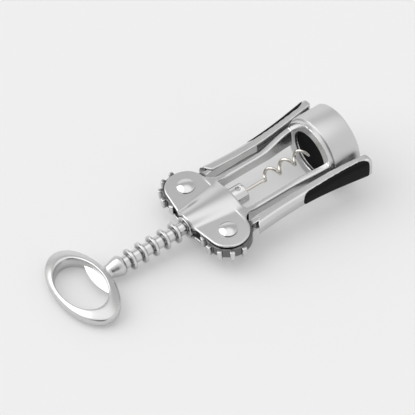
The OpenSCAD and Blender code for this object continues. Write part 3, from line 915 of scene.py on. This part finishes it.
@dataclass
class Lever(Shared):
    """One lever: toothed arm, channel shell and inlaid grip."""

    side: str = "left"
    gear_teeth: int = 13
    gear_addendum: float = 0.45
    gear_dedendum: float = 1.75
    gear_tooth: float = 2.4
    gear_half: float = 2.8
    sector_teeth: int = 8
    teeth_past: int = 1
    inner_gap: float = 0.55
    depth: float = 5.3
    half: float = 3.8
    tip_half: float = 5.9
    start_x: float = 17.2
    start_slant: float = 4.0
    tip_x: float = 82.4
    bend_x: float = 38.0
    bend_r: float = 241.3
    arm_end: float = 45.0
    corner: float = 2.2
    bulge: float = 0.35
    flange_t: float = 1.0
    web_t: float = 2.0
    grip_x: float = 41.8
    grip_margin: float = 2.4
    grip_sink: float = 0.55
    grip_proud: float = 0.25
    grip_corner: float = 4.5
    grip_wrap: Point2 = (0.9, 2.2)
    tip_edge: float = 2.2
    fine_edge: float = 0.3
    tooth_root: float = 0.25
    bar_blend: float = 1.5
    # Painted shade on the gear: it starts this far inside the pitch circle and deepens over the
    # fade.
    shade_below: float = 0.1
    shade_fade: float = 1.2
    clearance: float = 0.02
    inner_corner: float = 0.4
    hollow_edge: float = 0.35
    seat_edge: float = 0.2
    grip_edge: float = 0.4
    grip_bite: float = 0.05
    arm_space: tuple[Point3, Point3] = ((-15.0, 2.5, -3.3), (46.0, 33.0, 3.3))
    shell_space: tuple[Point3, Point3] = ((11.0, 17.0, -7.2), (83.6, 29.5, 7.2))
    voxel: float = 0.27

    @property
    def pitch_r(self) -> float:
        """Radius of the gear's pitch circle."""
        return self.gear_teeth * self.ring_spacing / (2 * math.pi)

    def fit(self, shop: Workshop, name: str, shape: Shape, slot: Slot, node: str,
            recess: np.ndarray | None = None) -> None:
        """Hands over a piece of the left lever, mirrored for the right one."""
        points, faces = shape
        points = points if self.side == "left" else points * (1.0, -1.0, 1.0)
        body, node = f"{self.side}_lever", f"{self.side}_{node}"
        shop.fit(f"{self.side}_{name}", (points, faces), body, slot, node, recess=recess)

    def inner_y(self, x: np.ndarray | float) -> np.ndarray | float:
        """Inner side of the shell at a distance from the pivots."""
        return self.pivot_y + self.inner_gap + (x - self.bend_x) ** 2 / (2 * self.bend_r)

    def half_width(self, x: np.ndarray) -> np.ndarray:
        """Half the shell's width at a distance from the pivots."""
        share = eased((x - self.bend_x) / (self.tip_x - self.bend_x))
        return self.half + share * (self.tip_half - self.half)

    def tooth(self) -> list[Point2]:
        """One involute tooth that points along +X, as seen from the pivot."""
        pitch_r = self.pitch_r
        base_r = pitch_r * math.cos(self.flank)

        def roll(radius: float) -> float:
            """Roll angle of the involute at a radius, in radians."""
            angle = math.acos(min(1.0, base_r / radius))
            return math.tan(angle) - angle

        radii = [pitch_r - self.gear_dedendum - 0.5, base_r, (base_r + pitch_r) / 2, pitch_r,
                 pitch_r + self.gear_addendum]
        half_angle = self.gear_tooth / pitch_r / 2 + roll(pitch_r)
        angles = [half_angle - roll(max(r, base_r)) for r in radii]
        upper = [(r * math.cos(a), r * math.sin(a)) for r, a in zip(radii, angles)]
        return [*upper, *[(x, -y) for x, y in reversed(upper)]]

    def build_arm(self, shop: Workshop) -> None:
        """Makes the toothed arm and hands it over."""
        root_r = self.pitch_r - self.gear_dedendum
        block = Block(*self.arm_space, self.voxel)
        x, y, z = block.axes()
        flat = disc(x, y, (0.0, self.pivot_y), root_r)
        last = self.gear_teeth - 1 + self.teeth_past
        for k in range(last - self.sector_teeth + 1, last + 1):
            angle = -math.pi / 2 + (k + 0.5) * 2 * math.pi / self.gear_teeth
            c, s = math.cos(angle), math.sin(angle)
            along = x * c + (y - self.pivot_y) * s
            across = (y - self.pivot_y) * c - x * s
            flat = merged(flat, polygon(along, across, self.tooth()), self.tooth_root)
        inner = self.inner_y(self.start_x) + self.clearance
        outer = self.inner_y(self.bend_x) + self.depth - self.web_t - self.clearance
        bar = [(0.0, self.pivot_y), (self.start_x, inner), (self.arm_end, inner),
               (self.arm_end, outer), (root_r / 2, outer)]
        flat = merged(flat, polygon(x, y, bar), self.bar_blend)
        points, faces = block.skin(slab(flat, z, self.gear_half, self.fine_edge))
        # Painted shade between the teeth: corners below the pitch circle darken towards the root.
        radius = np.hypot(points[:, 0], points[:, 1] - self.pivot_y)
        recess = np.clip((self.pitch_r - self.shade_below - radius) / self.shade_fade, 0, 1)
        self.fit(shop, "toothed_arm", (points, faces), Slot.CHROME, "gear_arm", recess)

    def bar_section(self, x: np.ndarray, y: np.ndarray,
                    z: np.ndarray) -> tuple[np.ndarray, np.ndarray]:
        """The solid bar that the shell is hollowed from.

        Returns:
            Its distance field, and the distance outward from its inner side.
        """
        out = y - self.inner_y(x)
        half = self.half_width(x)
        crown = self.bulge * (1 - np.clip(z / half, -1, 1) ** 2) * (out > self.depth / 2)
        corner = np.where(out > self.depth / 2, self.corner, self.inner_corner)
        side = np.abs(z) - half + corner
        face = np.abs(out - crown - self.depth / 2) - self.depth / 2 + corner
        start = (self.start_x - self.start_slant * out / self.depth - x) * 0.8
        bar = common(square(side, face) - corner, start, self.fine_edge)
        return common(bar, x - self.tip_x, self.tip_edge), out

    def grip_patch(self, x: np.ndarray, out: np.ndarray, z: np.ndarray) -> np.ndarray:
        """Distance to the rounded patch of the shell's skin that the grip covers."""
        end_x = self.tip_x - self.grip_margin
        girth = np.abs(z) + np.maximum(self.depth - out, 0)
        middle = (self.grip_x + end_x) / 2
        share = np.clip((x - self.grip_x) / (end_x - self.grip_x), 0, 1)
        wrap = self.grip_wrap[0] + (self.grip_wrap[1] - self.grip_wrap[0]) * share
        side = girth - self.half_width(x) - wrap + self.grip_corner
        length = np.abs(x - middle) - (end_x - self.grip_x) / 2 + self.grip_corner
        return np.maximum(square(side, length) - self.grip_corner, self.depth / 2 - out)

    def build_shell(self, shop: Workshop) -> None:
        """Makes the channel shell and its grip and hands them over."""
        block = Block(*self.shell_space, self.voxel)
        x, y, z = block.axes()
        bar, out = self.bar_section(x, y, z)
        patch = self.grip_patch(x, out, z)
        half = self.half_width(x)
        hollow = np.maximum(out - self.depth + self.web_t, np.abs(z) - half + self.flange_t)
        hollow = np.maximum(hollow, x - self.tip_x + self.tip_edge)
        shell = common(bar, -hollow, self.hollow_edge)
        seat = np.maximum(patch - self.clearance, -(bar + self.grip_sink))
        shell = common(shell, -seat, self.seat_edge)
        points, faces = block.skin(shell)
        # Painted shade: the inside of the channel, behind its flanges, is marked to be darkened.
        depth = points[:, 1] - self.inner_y(points[:, 0])
        aside = np.abs(points[:, 2]) - self.half_width(points[:, 0]) + self.flange_t
        recess = (depth < self.depth - self.web_t + 0.2) & (aside < 0.15)
        self.fit(shop, "channel", (points, faces), Slot.SATIN, "lever_shell", recess * 1.0)
        layer = np.maximum(bar - self.grip_proud, -(bar + self.grip_sink - self.grip_bite))
        inlay = block.skin(common(layer, patch, self.grip_edge))
        self.fit(shop, "inlay", inlay, Slot.RUBBER, "grip")

    def build(self, shop: Workshop) -> None:
        """Makes every piece of the lever."""
        self.build_arm(shop)
        self.build_shell(shop)


# ------------------------------------------------------------- the spindle


class RuleTree:
    """A Geometry Nodes tree with named number inputs."""

    def __init__(self, name: str, **defaults: float) -> None:
        """Makes the tree with its geometry sockets and one number input for each default."""
        self.tree = bpy.data.node_groups.new(name, "GeometryNodeTree")
        for way in ("OUTPUT", "INPUT"):
            self.tree.interface.new_socket("Geometry", in_out=way, socket_type="NodeSocketGeometry")
        self.identifiers: dict[str, str] = {}
        for label, value in defaults.items():
            kind = "NodeSocketInt" if isinstance(value, int) else "NodeSocketFloat"
            socket = self.tree.interface.new_socket(label, in_out="INPUT", socket_type=kind)
            socket.default_value = value
            self.identifiers[label] = socket.identifier
        self.graph = Graph(self.tree)
        self.inputs = self.graph.add("NodeGroupInput")

    def input(self, label: str) -> Value:
        """One of the tree's inputs."""
        return self.inputs.output(label)

    def finish(self, geometry: Value, material: bpy.types.Material) -> None:
        """Ends the tree with real geometry in one material."""
        inputs = {"Geometry": geometry, "Shade Smooth": True}
        smooth = self.graph.add("GeometryNodeSetShadeSmooth", {}, inputs)
        real = self.graph.add("GeometryNodeRealizeInstances", {}, {"Geometry": smooth})
        inputs = {"Geometry": real, "Material": material}
        dressed = self.graph.add("GeometryNodeSetMaterial", {}, inputs)
        self.graph.add("NodeGroupOutput", {}, {"Geometry": dressed})

    def run(self, name: str, seed: bpy.types.Mesh, **sizes: float) -> Shape:
        """Runs the tree on a mesh.

        Args:
            name: name of the new mesh.
            seed: the mesh that the tree starts from.
            sizes: values for the tree's inputs.

        Returns:
            Corners, in mm, and faces of the mesh that the tree makes.
        """
        carrier = bpy.data.objects.new(name + "_carrier", seed)
        bpy.context.scene.collection.objects.link(carrier)
        modifier = carrier.modifiers.new(name, "NODES")
        modifier.node_group = self.tree
        for label, value in sizes.items():
            modifier[self.identifiers[label]] = value
        bpy.context.view_layer.update()
        graph = bpy.context.evaluated_depsgraph_get()
        mesh = bpy.data.meshes.new_from_object(carrier.evaluated_get(graph))
        bpy.data.objects.remove(carrier)
        rows = np.zeros(len(mesh.vertices) * 3)
        mesh.vertices.foreach_get("co", rows)
        faces = [list(face.vertices) for face in mesh.polygons]
        bpy.data.meshes.remove(mesh)
        return rows.reshape(-1, 3) / MM, faces


@dataclass
class Spindle(Shared):
    """Ring rack, rod with its thick end, cross pin and worm."""

    rings_up: int = 7
    rings_down: int = 1
    tip_r: float = 5.5
    sleeve_r: float = 3.3
    bore_r: float = 2.05
    rod_r: float = 2.0
    tooth: float = 2.2
    addendum: float = 1.35
    bush_len: float = 12.6
    bush_r: float = 5.1
    pin_r: float = 1.4
    wire_r: float = 0.9
    head_r: float = 2.1
    coil_r: float = 2.65
    coil_off: float = 1.3
    coil_off_turn: float = math.radians(36)
    coil_pitch: float = 9.3
    coil_turns: float = 3.2
    shank_len: float = 11.0
    worm_turn: float = math.radians(160)
    pin_share: float = 0.26
    mouth_depth: float = 1.5
    hole_floor: float = 3.6
    bush_edge: float = 0.6
    bush_voxel: float = 0.16
    mouth_edge: float = 0.3
    hole_edge: float = 0.35
    pin_drop: float = 1.0
    rod_reach: float = 6.9
    rod_lap: float = 1.0
    end_gap: float = 0.1
    # Painted shade on the rack: ring faces below this radius darken, and the sleeve darkens near
    # each ring.
    shade_r: float = 4.7
    shade_fade: float = 1.2
    shade_half: float = 2.1
    shade_end: float = 0.8
    facets: int = 96
    stations: int = 220
    points_per_turn: int = 40
    shank_points: int = 6
    wire_facets: int = 20

    @property
    def bush_x(self) -> float:
        """Where the spindle's thick end starts."""
        return (self.rings_down + 0.5) * self.ring_spacing

    @property
    def bush_end(self) -> float:
        """Where the spindle's thick end stops."""
        return self.bush_x + self.bush_len

    def ring_profile(self) -> list[Point2]:
        """One ring tooth, centred on x = 0, with a rounded tip and a flared root."""
        spread = math.tan(self.flank)
        tip = self.tooth / 2 - self.addendum * spread
        root = self.tooth / 2 + (self.tip_r - self.addendum - self.sleeve_r) * spread
        foot, foot_r = root + 0.2, self.sleeve_r - 0.3
        corners = [(-foot, foot_r, 0.0), (-root, self.sleeve_r, 0.5), (-tip, self.tip_r, 0.35),
                   (tip, self.tip_r, 0.35), (root, self.sleeve_r, 0.5), (foot, foot_r, 0.0)]
        return filleted(corners)

    def build_rack(self, shop: Workshop) -> None:
        """Makes the ring rack: a sleeve, and one ring repeated by a tree."""
        tree = RuleTree("RingRow", Count=1, Spacing=0.001, First=0.0)
        graph = tree.graph
        step = graph.add("ShaderNodeCombineXYZ", {}, {"X": tree.input("Spacing")})
        start = graph.add("ShaderNodeCombineXYZ", {}, {"X": tree.input("First")})
        inputs = {"Count": tree.input("Count"), "Start Location": start, "Offset": step}
        row = graph.add("GeometryNodeMeshLine", {}, inputs)
        inputs = {"Points": row, "Instance": tree.input("Geometry")}
        rings = graph.add("GeometryNodeInstanceOnPoints", {}, inputs)
        tree.finish(rings, shop.materials[Slot.CHROME])
        seed = bpy.data.meshes.new("ring_seed")
        points, faces = turned(self.ring_profile(), self.facets)
        seed.from_pydata((points * MM).tolist(), [], faces)
        points, faces = tree.run(
            "rack_rings", seed, Count=self.rings_up + self.rings_down + 1,
            Spacing=self.ring_spacing * MM, First=-self.rings_up * self.ring_spacing * MM)
        # Painted shade: ring faces darken towards the sleeve, between the rings.
        radius = np.hypot(points[:, 1], points[:, 2])
        recess = np.clip((self.shade_r - radius) / self.shade_fade, 0, 1)
        shop.fit("rack_rings", (points, faces), "rack", Slot.CHROME, "ring_rack",
                 crease=50.0, recess=recess)
        first, last = -self.neck_x + self.end_gap, self.bush_x - self.end_gap
        outside = [(x, self.sleeve_r) for x in np.linspace(first, last, self.stations)]
        sleeve = [(first, self.bore_r), *outside, (last, self.bore_r)]
        points, faces = turned(sleeve, self.facets)
        # Painted shade: the sleeve darkens near the foot of each ring.
        rings = points[:, 0] / self.ring_spacing
        off = np.abs(rings - np.round(rings)) * self.ring_spacing
        recess = np.clip((self.shade_half - off) / self.shade_end, 0, 1)
        shop.fit("rack_sleeve", (points, faces), "rack", Slot.CHROME, recess=recess)

    def build_rod(self, shop: Workshop) -> None:
        """Makes the rod with its thick end, and the cross pin."""
        seat = -self.neck_x - self.rod_reach
        end = self.bush_x + self.rod_lap
        path = [(seat, 0.0, 0.0), (seat, self.rod_r, 0.2), (end, self.rod_r, 0.0), (end, 0.0, 0.0)]
        rod = turned(filleted(path, closed=False), self.facets)
        shop.fit("spindle_rod", rod, "spindle", Slot.CHROME, "spindle")
        pin_x = self.bush_end - self.bush_len * self.pin_share
        edge, side = self.bush_edge, self.bush_r + self.bush_edge
        low, high = (self.bush_x - edge, -side, -side), (self.bush_end + edge, side, side)
        block = Block(low, high, self.bush_voxel)
        x, y, z = block.axes()
        middle = (self.bush_x + self.bush_end) / 2
        bush = slab(np.hypot(y, z) - self.bush_r, x - middle, self.bush_len / 2, edge)
        mouth = np.maximum(np.hypot(y, z) - self.head_r, self.bush_end - self.mouth_depth - x)
        bush = common(bush, -mouth, self.mouth_edge)
        drilled = np.maximum(np.hypot(x - pin_x, y) - self.pin_r, self.hole_floor - np.abs(z))
        bush = block.skin(common(bush, -drilled, self.hole_edge))
        shop.fit("spindle_thick_end", bush, "spindle", Slot.CHROME)
        reach = self.bush_r - self.pin_drop
        pin = [(-reach, 0.0, 0.0), (-reach, self.pin_r, 0.3), (reach, self.pin_r, 0.3),
               (reach, 0.0, 0.0)]
        points, faces = turned(filleted(pin, closed=False), 40)
        upright = points[:, [1, 2, 0]] + (pin_x, 0.0, 0.0)
        shop.fit("cross_pin", (upright, faces), "spindle", Slot.CHROME, "worm_pin")

    def build_worm(self, shop: Workshop) -> None:
        """Makes the worm: a tree bends a line of points into a helix and sweeps wire along it."""
        count = round(self.coil_turns * self.points_per_turn) + 1
        tree = RuleTree("WormWire", Count=2, PerTurn=24.0, Start=0.0, Shank=0.0, Pitch=0.01,
                        Coil=0.003, Wire=0.001, Turn=0.0, OffY=0.0, OffZ=0.0, Ease=0.417, Taper=0.5,
                        Tip=0.12)
        graph = tree.graph
        before = float(self.shank_points)
        line = graph.add("GeometryNodeMeshLine", {}, {"Count": tree.input("Count") + before})
        step = graph.add("GeometryNodeInputIndex") - before
        on_coil = step.math("MAXIMUM", 0.0)
        on_shank = step.smallest(0.0) / before
        turns = on_coil / tree.input("PerTurn")
        rise = (turns / tree.input("Ease")).smallest(1.0)
        out = (rise * (math.pi / 2)).sin() ** 2.0
        angle = tree.input("Turn") + turns * (2 * math.pi)
        along = tree.input("Start") + tree.input("Shank") * on_shank + turns * tree.input("Pitch")
        across = out * (tree.input("OffY") + tree.input("Coil") * angle.cos())
        up = out * (tree.input("OffZ") + tree.input("Coil") * angle.sin())
        place = graph.add("ShaderNodeCombineXYZ", {}, {"X": along, "Y": across, "Z": up})
        bent = graph.add("GeometryNodeSetPosition", {}, {"Geometry": line, "Position": place})
        curve = graph.add("GeometryNodeMeshToCurve", {}, {"Mesh": bent})
        left = (tree.input("Count") - 1.0 - on_coil) / tree.input("PerTurn") / tree.input("Taper")
        thin = tree.input("Tip") + (1.0 - tree.input("Tip")) * (left.clamped() ** 0.5)
        sized = graph.add("GeometryNodeSetCurveRadius", {}, {"Curve": curve, "Radius": thin})
        circle = graph.add("GeometryNodeCurvePrimitiveCircle", {"mode": "RADIUS"},
                           {"Resolution": self.wire_facets, "Radius": tree.input("Wire")})
        inputs = {"Curve": sized, "Profile Curve": circle, "Scale": thin, "Fill Caps": True}
        wire = graph.add("GeometryNodeCurveToMesh", {}, inputs)
        tree.finish(wire, shop.materials[Slot.WORM])
        seed = bpy.data.meshes.new("worm_seed")
        shank = self.shank_len + self.bush_len * 0.5
        wire = tree.run(
            "worm_wire", seed, Count=count, PerTurn=float(self.points_per_turn),
            Start=(self.bush_end + self.shank_len) * MM, Shank=shank * MM,
            Pitch=self.coil_pitch * MM, Coil=self.coil_r * MM, Wire=self.wire_r * MM,
            Turn=self.worm_turn, OffY=self.coil_off * math.cos(self.coil_off_turn) * MM,
            OffZ=self.coil_off * math.sin(self.coil_off_turn) * MM)
        shop.fit("worm_wire", wire, "spindle", Slot.WORM, "worm", crease=60.0)

    def build(self, shop: Workshop) -> None:
        """Makes every piece of the spindle."""
        self.build_rack(shop)
        self.build_rod(shop)
        self.build_worm(shop)


@dataclass
class Handle(Shared):
    """The oval ring with its neck, and the opener's lip."""

    ring_x: float = 73.4
    ring_a: float = 14.2
    ring_b: float = 25.2
    hole_a: float = 10.9
    hole_b: float = 16.7
    hole_shift: float = 0.6
    ring_half: float = 3.7
    band_half: float = 1.75
    neck_r: float = 5.2
    thin_r: float = 2.7
    neck_root: float = 3.0
    lip_t: float = 1.6
    lip_reach: float = 4.4
    lip_edge_r: float = 33.0
    lip_slope: float = math.radians(16)
    lip_let_in: float = 1.1
    hole_edge: float = 1.1
    rim_edge: float = 0.9
    bank_cosine: float = 0.93
    neck_blend: float = 1.6
    bore_r: float = 2.0
    bore_depth: float = 6.5
    fine_edge: float = 0.2
    margin: float = 1.2
    voxel: float = 0.27
    lip_voxel: float = 0.16
    lip_space: tuple[Point3, Point3] = ((-69.5, -14.5, -1.6), (-60.5, 14.5, 1.6))
    profile: tuple[Point2, ...] = (
        (0.0, -0.6), (0.02, 0.45), (0.1, 0.92), (0.24, 1.0), (0.42, 0.88), (0.62, 0.64),
        (0.82, 0.33), (0.97, 0.06), (1.0, -0.1))

    @property
    def hole_x(self) -> float:
        """Middle of the hole along the tool."""
        return -self.ring_x - self.hole_shift

    def ring_height(self, share: np.ndarray) -> np.ndarray:
        """Half height of the ring at a share of the way from the hole to the rim."""
        places, levels = np.array(self.profile).T
        fine = np.linspace(0, 1, 201)
        rough = np.interp(fine, places, levels)
        kernel = np.hanning(25)
        padded = np.concatenate([np.full(12, rough[0]), rough, np.full(12, rough[-1])])
        smooth = np.convolve(padded, kernel / kernel.sum(), "valid")
        return self.band_half + (self.ring_half - self.band_half) * np.interp(share, fine, smooth)

    def ring(self, x: np.ndarray, y: np.ndarray, z: np.ndarray) -> np.ndarray:
        """Distance to the oval ring."""
        from_hole = oval(x - self.hole_x, y, self.hole_a, self.hole_b)
        to_rim = -oval(x + self.ring_x, y, self.ring_a, self.ring_b)
        share = np.clip(from_hole / np.maximum(from_hole + to_rim, 1e-6), 0, 1)
        top = (np.abs(z) - self.ring_height(share)) * self.bank_cosine
        return common(common(top, -from_hole, self.hole_edge), -to_rim, self.rim_edge)

    def neck(self, x: np.ndarray, y: np.ndarray, z: np.ndarray) -> np.ndarray:
        """Distance to the flared neck."""
        root = self.ring_x - self.ring_a + self.neck_root
        flare = root - self.neck_x
        stem, wide = self.thin_r, self.neck_r
        shares = ((-0.05, 0.0), (0.0, stem - 0.3), (0.2, stem + 0.3), (0.42, wide * 0.76),
                  (0.66, wide * 0.93), (0.8, wide), (0.88, wide * 0.97), (0.95, wide * 0.85),
                  (1.0, wide * 0.66), (1.0, 0.0))
        corners = [(-root + flare * share, radius, 1.0) for share, radius in shares]
        return polygon(x, np.hypot(y, z), filleted(corners, closed=False, steps=3))

    def build(self, shop: Workshop) -> None:
        """Makes the handle and the lip and hands them over."""
        reach = self.ring_x + self.ring_a
        side, top = self.ring_b + self.margin, self.neck_r + 1.0
        low, high = (-reach - self.margin, -side, -top), (-self.neck_x + self.margin, side, top)
        block = Block(low, high, self.voxel)
        x, y, z = block.axes()
        body = merged(self.ring(x, y, z), self.neck(x, y, z), self.neck_blend)
        bore = np.maximum(np.hypot(y, z) - self.bore_r, -self.neck_x - self.bore_depth - x)
        body = common(body, -bore, self.fine_edge)
        hx = x - self.hole_x
        hole = (np.hypot(hx / self.hole_a, y / self.hole_b) - 1) * self.hole_a
        body = np.maximum(body, -np.maximum(hole, -hx))
        shop.fit("handle_ring", block.skin(body), "spindle", Slot.SATIN, "handle")
        self.build_lip(shop)

    def build_lip(self, shop: Workshop) -> None:
        """Makes the polished lip of the bottle opener."""
        block = Block(*self.lip_space, self.lip_voxel)
        x, y, z = block.axes()
        seat_a, seat_b = self.hole_a + self.lip_let_in, self.hole_b + self.lip_let_in
        hole = (np.hypot((x - self.hole_x) / seat_a, y / seat_b) - 1) * self.hole_a
        root_x = self.hole_x + self.hole_a
        middle = (root_x - self.lip_reach + self.lip_edge_r, 0.0)
        edge = disc(x, y, middle, self.lip_edge_r)
        plate = slab(np.maximum(hole, edge), z, self.lip_t / 2, 0.3)
        slope = math.tan(self.lip_slope)
        bevel = (z - self.lip_t / 2 + (root_x - x) * slope) * math.cos(self.lip_slope)
        lip = block.skin(common(plate, bevel, 0.15))
        shop.fit("opener_plate", lip, "spindle", Slot.CHROME, "opener_lip")


# -------------------------------------------------------------- the studio


@dataclass(frozen=True)
class Glow:
    """A round patch of the surround that shines at a level of its own, with a soft edge."""

    name: str
    azimuth: float
    elevation: float
    inner: float
    outer: float
    level: float

    @property
    def way(self) -> Vector:
        """Direction of the patch's middle."""
        azimuth, elevation = math.radians(self.azimuth), math.radians(self.elevation)
        flat = math.cos(elevation)
        return Vector((math.cos(azimuth) * flat, math.sin(azimuth) * flat, math.sin(elevation)))


@dataclass
class Studio:
    """Floor, surround and the camera at the photograph's angle."""

    tool: ToolFrame
    azimuth: float = math.radians(-31.82)
    elevation: float = math.radians(49.305)
    roll: float = math.radians(-5.372)
    distance: float = 850.1
    target: Point2 = (2.36, 3.08)
    lens: float = 149.8
    sensor: float = 36.0
    floor_half: float = 4.0
    floor_level: float = 0.8
    floor_glow: float = 0.22
    floor_shown: float = 0.885
    surround: float = 0.6
    glows: tuple[Glow, ...] = (
        Glow("right_fill", 300.0, 15.0, 30.0, 75.0, 0.86),
        Glow("back_horizon", 64.0, 6.0, 10.0, 36.0, 0.95),
        Glow("overhead", 150.0, 88.0, 12.0, 40.0, 1.25),
        Glow("left_bank", 141.0, 38.0, 31.0, 37.0, 2.15),
        Glow("dark_doorway", 231.0, 20.0, 15.0, 28.0, 0.05),
    )

    def build_camera(self) -> None:
        """Places the camera, which is given in the tool's own axes."""
        flat = math.cos(self.elevation)
        back = Vector((math.sin(self.azimuth) * flat, -math.cos(self.azimuth) * flat,
                       math.sin(self.elevation)))
        right = Vector((0.0, 0.0, 1.0)).cross(back).normalized()
        up = back.cross(right)
        c, s = math.cos(self.roll), math.sin(self.roll)
        rolled_right = right * c + up * s
        rolled_up = up * c - right * s
        turn = self.tool.matrix.to_3x3().normalized()
        place = self.tool.matrix @ (Vector((*self.target, 0.0)) + back * self.distance)
        matrix = Matrix((turn @ rolled_right, turn @ rolled_up, turn @ back)).transposed().to_4x4()
        camera = bpy.data.cameras.new("photo_camera")
        camera.lens = self.lens
        camera.sensor_width = self.sensor
        camera.clip_start = 0.05
        thing = bpy.data.objects.new("photo_camera", camera)
        thing.matrix_world = Matrix.Translation(place) @ matrix
        bpy.context.scene.collection.objects.link(thing)
        bpy.context.scene.camera = thing

    def build_floor(self) -> None:
        """Lays the pale floor, whose shadows are lightened a little for the camera."""
        half = self.floor_half
        corners = [(-half, -half, 0), (half, -half, 0), (half, half, 0), (-half, half, 0)]
        mesh = bpy.data.meshes.new("floor")
        mesh.from_pydata(corners, [], [(0, 1, 2, 3)])
        material = bpy.data.materials.new("floor_paper")
        material.use_nodes = True
        shader = material.node_tree.nodes["Principled BSDF"]
        shader.inputs["Base Color"].default_value = rgba(self.floor_level)
        shader.inputs["Roughness"].default_value = 0.9
        shader.inputs["Specular IOR Level"].default_value = 0.1
        graph = Graph(material.node_tree)
        seen = graph.add("ShaderNodeLightPath", output="Is Camera Ray") * self.floor_glow
        paper = graph.add("ShaderNodeEmission", {}, {"Color": rgba(self.floor_shown)})
        lit = Value(graph, shader.outputs["BSDF"])
        both = graph.add("ShaderNodeMixShader", {}, {0: seen, 1: lit, 2: paper})
        end = material.node_tree.nodes["Material Output"]
        graph.tree.links.new(both.socket, end.inputs["Surface"])
        mesh.materials.append(material)
        floor = bpy.data.objects.new("floor", mesh)
        bpy.context.scene.collection.objects.link(floor)
        floor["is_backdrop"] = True

    def build_surround(self) -> None:
        """Makes the pale room: an even level, changed by each glow in turn."""
        world = bpy.data.worlds.new("surround")
        world.use_nodes = True
        bpy.context.scene.world = world
        graph = Graph(world.node_tree)
        view = graph.add("ShaderNodeTexCoord", output="Generated")
        level: Any = self.surround
        for glow in self.glows:
            settings = {"operation": "DOT_PRODUCT", "label": glow.name}
            inputs = {0: view, 1: glow.way}
            near = graph.add("ShaderNodeVectorMath", settings, inputs, output="Value")
            inputs = {"Value": near, "From Min": math.cos(math.radians(glow.outer)),
                      "From Max": math.cos(math.radians(glow.inner))}
            share = graph.add("ShaderNodeMapRange", {"interpolation_type": "SMOOTHSTEP"}, inputs)
            level = level + (glow.level - level) * share
        background = world.node_tree.nodes["Background"]
        graph.tree.links.new(level.socket, background.inputs["Strength"])
        background.inputs["Color"].default_value = rgba(1.0)

    def build(self) -> None:
        """Sets the whole studio up."""
        bpy.context.scene.view_settings.view_transform = "Standard"
        self.build_camera()
        self.build_floor()
        self.build_surround()


def extent(bounds: Sequence[Sequence[float]]) -> list[list[float]]:
    """A box as plain lists of numbers."""
    return [[float(value) for value in corner] for corner in bounds]


def main() -> dict[str, Any]:
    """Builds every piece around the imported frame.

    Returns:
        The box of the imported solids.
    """
    logging.basicConfig(level=logging.INFO, format="%(message)s")
    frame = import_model()
    solid_box = extent(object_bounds())
    tool = ToolFrame.from_joints(frame["joints"])
    finishes: tuple[Finish, ...] = (
        SatinMetal(Slot.SATIN),
        PolishedMetal(Slot.CHROME),
        BrushedMetal(Slot.BELL, turn=tool.pitch),
        PolishedMetal(Slot.WORM, colour=(0.72, 0.69, 0.64), roughness=0.16),
        Moulding(Slot.PLASTIC, roughness=0.45),
        Moulding(Slot.RUBBER),
    )
    shop = Workshop(tool, {finish.slot: finish.material() for finish in finishes})
    Studio(tool).build()
    levers = (Lever(side="left"), Lever(side="right"))
    for part in (CastBody(), Bell(), Rivets(), *levers, Spindle(), Handle()):
        part.build(shop)
    return {"solids": solid_box}


if __name__ == "__main__":
    sizes = main()
    sizes["visual"] = extent(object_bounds())
